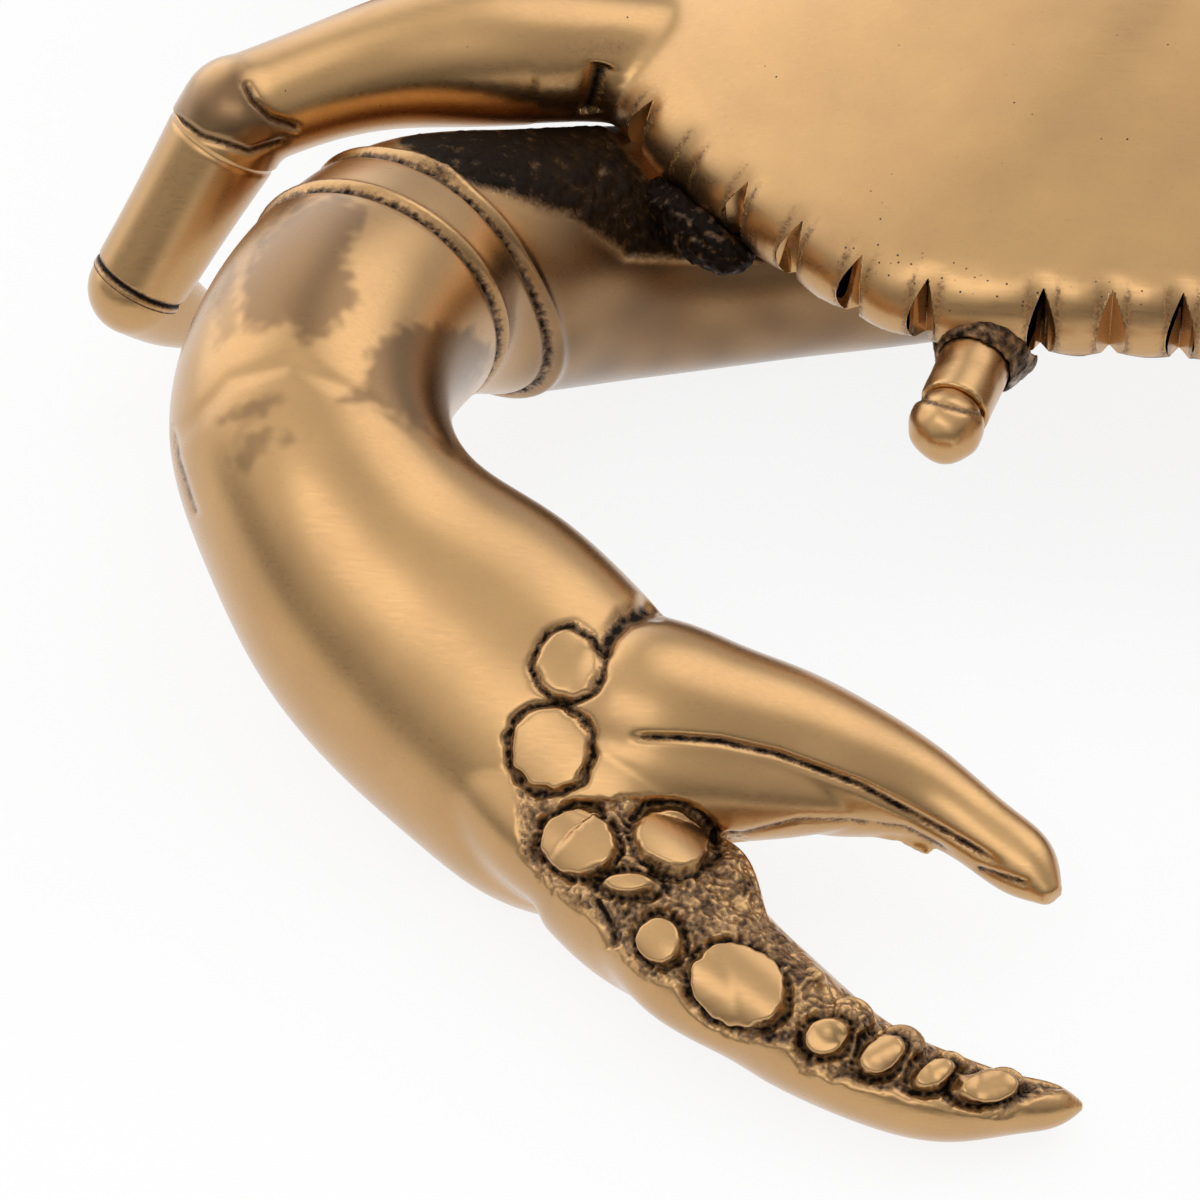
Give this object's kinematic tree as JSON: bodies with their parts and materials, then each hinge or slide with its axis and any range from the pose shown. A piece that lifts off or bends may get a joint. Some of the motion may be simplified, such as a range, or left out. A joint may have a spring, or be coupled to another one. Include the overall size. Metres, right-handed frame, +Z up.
{
  "type": "crab figurine",
  "caption": "Heavy ornament of a crab in cast, brazed and polished brass, with a domed notched shell, large claws, round eyes and bent legs.",
  "frame": {"origin": "middle of the figurine's bounding box, on the table it rests on", "axes": "+X towards the crab's own left side (longest extent), -Y the way the crab faces, +Z up from the table"},
  "size_m": [0.415, 0.3812, 0.0842],
  "materials": {
    "brass": "cast brass, ground and satin polished",
    "braze": "rough brazing fillet, darkened",
    "dowel": "drawn brass bar, hidden in the joints"
  },
  "bodies": {
    "root": {"carapace": "brass", "plastron": "brass", "right_arm": "brass", "right_wrist": "brass", "right_palm": "brass", "right_finger": "brass", "right_eye_stalk": "brass", "right_eyeball": "brass", "right_arm_braze": "braze", "right_eye_braze": "braze", "right_front_thigh": "brass", "right_front_shin": "brass", "right_front_toe": "brass", "right_second_thigh": "brass", "right_second_shin": "brass", "right_second_toe": "brass", "right_third_thigh": "brass", "right_third_shin": "brass", "right_third_toe": "brass", "right_rear_thigh": "brass", "right_rear_shin": "brass", "right_rear_toe": "brass", "left_arm": "brass", "left_wrist": "brass", "left_palm": "brass", "left_finger": "brass", "left_eye_stalk": "brass", "left_eyeball": "brass", "left_arm_braze": "braze", "left_eye_braze": "braze", "left_front_thigh": "brass", "left_front_shin": "brass", "left_front_toe": "brass", "left_second_thigh": "brass", "left_second_shin": "brass", "left_second_toe": "brass", "left_third_thigh": "brass", "left_third_shin": "brass", "left_third_toe": "brass", "left_rear_thigh": "brass", "left_rear_shin": "brass", "left_rear_toe": "brass", "hip_dowels": "dowel", "knee_dowels": "dowel", "ankle_dowels": "dowel", "shoulder_dowels": "dowel", "collar_dowels": "dowel", "wrist_dowels": "dowel", "finger_dowels": "dowel"}
  },
  "joints": []
}
